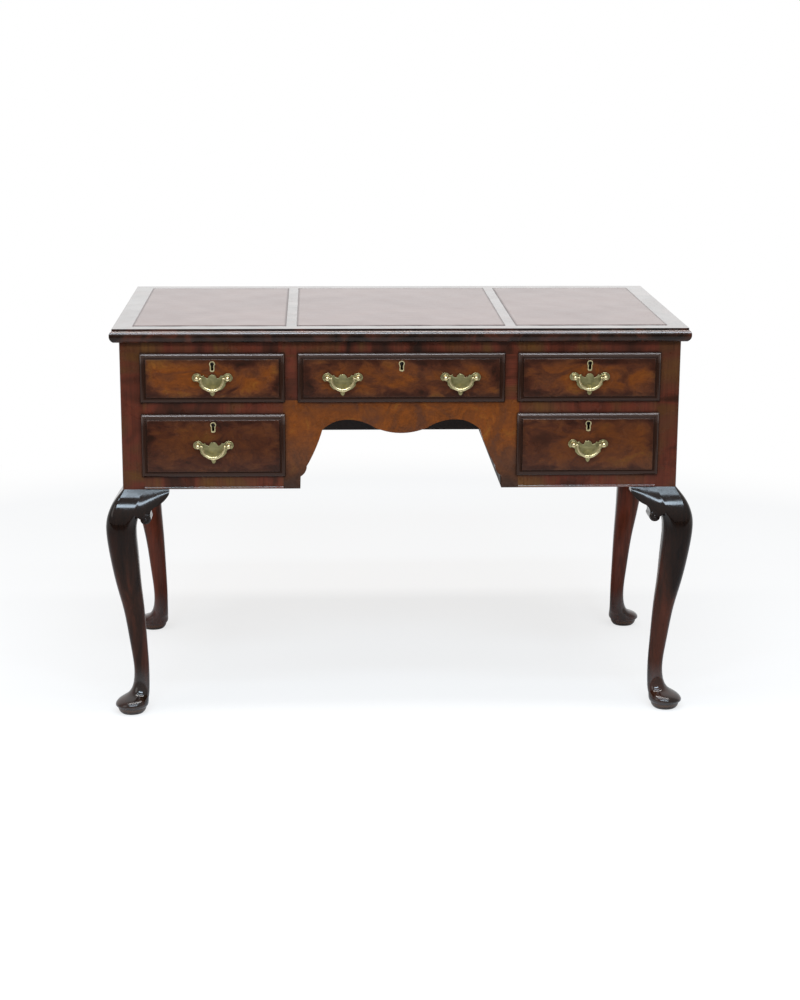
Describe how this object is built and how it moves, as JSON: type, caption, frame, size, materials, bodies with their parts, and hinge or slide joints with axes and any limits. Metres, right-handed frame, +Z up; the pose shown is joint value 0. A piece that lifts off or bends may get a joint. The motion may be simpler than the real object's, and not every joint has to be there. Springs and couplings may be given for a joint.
{
  "type": "kneehole desk",
  "caption": "Walnut kneehole writing desk with lipped drawers, a shaped apron, cabriole legs, brass bail handles and a leather-lined top.",
  "frame": {"origin": "on the floor under the middle of the desk", "axes": "+X to the right along the front as seen by the sitter, +Y from the front to the back, +Z up"},
  "size_m": [1.132, 0.64, 0.762],
  "materials": {
    "polished_top": "dark polished walnut",
    "leather": "worn red-brown leather",
    "walnut_case": "polished walnut",
    "walnut_inside": "dark stained wood",
    "dark_walnut": "dark polished walnut",
    "burr_walnut": "polished burr walnut",
    "drawer_oak": "bare oak",
    "brass": "old polished brass",
    "lock_steel": "worn steel"
  },
  "bodies": {
    "case": {"top_board": "polished_top", "top_edging": "polished_top", "leather_left": "leather", "leather_centre": "leather", "leather_right": "leather", "top_rail": "walnut_case", "drawer_rails": "walnut_case", "drawer_dividers": "walnut_case", "apron": "walnut_case", "side_panels": "walnut_case", "back_panel": "walnut_inside", "kneehole_sides": "walnut_inside", "drawer_runners": "drawer_oak", "drawer_stops": "drawer_oak", "leg_front_left": "dark_walnut", "leg_front_right": "dark_walnut", "leg_rear_left": "dark_walnut", "leg_rear_right": "dark_walnut", "knee_brackets": "dark_walnut"},
    "upper_left_drawer": {"drawer_front_upper_left": "burr_walnut", "drawer_sides_upper_left": "drawer_oak", "drawer_back_upper_left": "drawer_oak", "drawer_bottom_upper_left": "drawer_oak", "handle_upper_left": "brass", "lock_upper_left": "brass"},
    "upper_left_lock_bolt": {"lock_bolt_upper_left": "lock_steel"},
    "upper_centre_drawer": {"drawer_front_upper_centre": "burr_walnut", "drawer_sides_upper_centre": "drawer_oak", "drawer_back_upper_centre": "drawer_oak", "drawer_bottom_upper_centre": "drawer_oak", "handle_upper_centre": "brass", "lock_upper_centre": "brass"},
    "upper_centre_lock_bolt": {"lock_bolt_upper_centre": "lock_steel"},
    "upper_right_drawer": {"drawer_front_upper_right": "burr_walnut", "drawer_sides_upper_right": "drawer_oak", "drawer_back_upper_right": "drawer_oak", "drawer_bottom_upper_right": "drawer_oak", "handle_upper_right": "brass", "lock_upper_right": "brass"},
    "upper_right_lock_bolt": {"lock_bolt_upper_right": "lock_steel"},
    "lower_left_drawer": {"drawer_front_lower_left": "burr_walnut", "drawer_sides_lower_left": "drawer_oak", "drawer_back_lower_left": "drawer_oak", "drawer_bottom_lower_left": "drawer_oak", "handle_lower_left": "brass", "lock_lower_left": "brass"},
    "lower_left_lock_bolt": {"lock_bolt_lower_left": "lock_steel"},
    "lower_right_drawer": {"drawer_front_lower_right": "burr_walnut", "drawer_sides_lower_right": "drawer_oak", "drawer_back_lower_right": "drawer_oak", "drawer_bottom_lower_right": "drawer_oak", "handle_lower_right": "brass", "lock_lower_right": "brass"},
    "lower_right_lock_bolt": {"lock_bolt_lower_right": "lock_steel"},
    "upper_left_bail": {"bail_upper_left": "brass"},
    "upper_right_bail": {"bail_upper_right": "brass"},
    "upper_centre_left_bail": {"bail_upper_centre_left": "brass"},
    "upper_centre_right_bail": {"bail_upper_centre_right": "brass"},
    "lower_left_bail": {"bail_lower_left": "brass"},
    "lower_right_bail": {"bail_lower_right": "brass"}
  },
  "joints": [
    {"name": "upper_left_drawer_slide", "type": "slide", "parent": "case", "child": "upper_left_drawer", "axis": [0, -1, 0], "range_m": [0, 0.4]},
    {"name": "upper_left_bolt_slide", "type": "slide", "parent": "upper_left_drawer", "child": "upper_left_lock_bolt", "axis": [0, 0, 1], "range_m": [0, 0.007]},
    {"name": "upper_centre_drawer_slide", "type": "slide", "parent": "case", "child": "upper_centre_drawer", "axis": [0, -1, 0], "range_m": [0, 0.4]},
    {"name": "upper_centre_bolt_slide", "type": "slide", "parent": "upper_centre_drawer", "child": "upper_centre_lock_bolt", "axis": [0, 0, 1], "range_m": [0, 0.007]},
    {"name": "upper_right_drawer_slide", "type": "slide", "parent": "case", "child": "upper_right_drawer", "axis": [0, -1, 0], "range_m": [0, 0.4]},
    {"name": "upper_right_bolt_slide", "type": "slide", "parent": "upper_right_drawer", "child": "upper_right_lock_bolt", "axis": [0, 0, 1], "range_m": [0, 0.007]},
    {"name": "lower_left_drawer_slide", "type": "slide", "parent": "case", "child": "lower_left_drawer", "axis": [0, -1, 0], "range_m": [0, 0.4]},
    {"name": "lower_left_bolt_slide", "type": "slide", "parent": "lower_left_drawer", "child": "lower_left_lock_bolt", "axis": [0, 0, 1], "range_m": [0, 0.007]},
    {"name": "lower_right_drawer_slide", "type": "slide", "parent": "case", "child": "lower_right_drawer", "axis": [0, -1, 0], "range_m": [0, 0.4]},
    {"name": "lower_right_bolt_slide", "type": "slide", "parent": "lower_right_drawer", "child": "lower_right_lock_bolt", "axis": [0, 0, 1], "range_m": [0, 0.007]},
    {"name": "upper_left_bail_hinge", "type": "hinge", "parent": "upper_left_drawer", "child": "upper_left_bail", "pos_m": [-0.35825, -0.3092, 0.66835], "axis": [-1, 0, 0], "range_deg": [-16, 165]},
    {"name": "upper_right_bail_hinge", "type": "hinge", "parent": "upper_right_drawer", "child": "upper_right_bail", "pos_m": [0.35825, -0.3092, 0.66835], "axis": [-1, 0, 0], "range_deg": [-16, 165]},
    {"name": "upper_centre_left_bail_hinge", "type": "hinge", "parent": "upper_centre_drawer", "child": "upper_centre_left_bail", "pos_m": [-0.112, -0.3092, 0.66835], "axis": [-1, 0, 0], "range_deg": [-16, 165]},
    {"name": "upper_centre_right_bail_hinge", "type": "hinge", "parent": "upper_centre_drawer", "child": "upper_centre_right_bail", "pos_m": [0.112, -0.3092, 0.66835], "axis": [-1, 0, 0], "range_deg": [-16, 165]},
    {"name": "lower_left_bail_hinge", "type": "hinge", "parent": "lower_left_drawer", "child": "lower_left_bail", "pos_m": [-0.35825, -0.3092, 0.53785], "axis": [-1, 0, 0], "range_deg": [-16, 165]},
    {"name": "lower_right_bail_hinge", "type": "hinge", "parent": "lower_right_drawer", "child": "lower_right_bail", "pos_m": [0.35825, -0.3092, 0.53785], "axis": [-1, 0, 0], "range_deg": [-16, 165]}
  ]
}
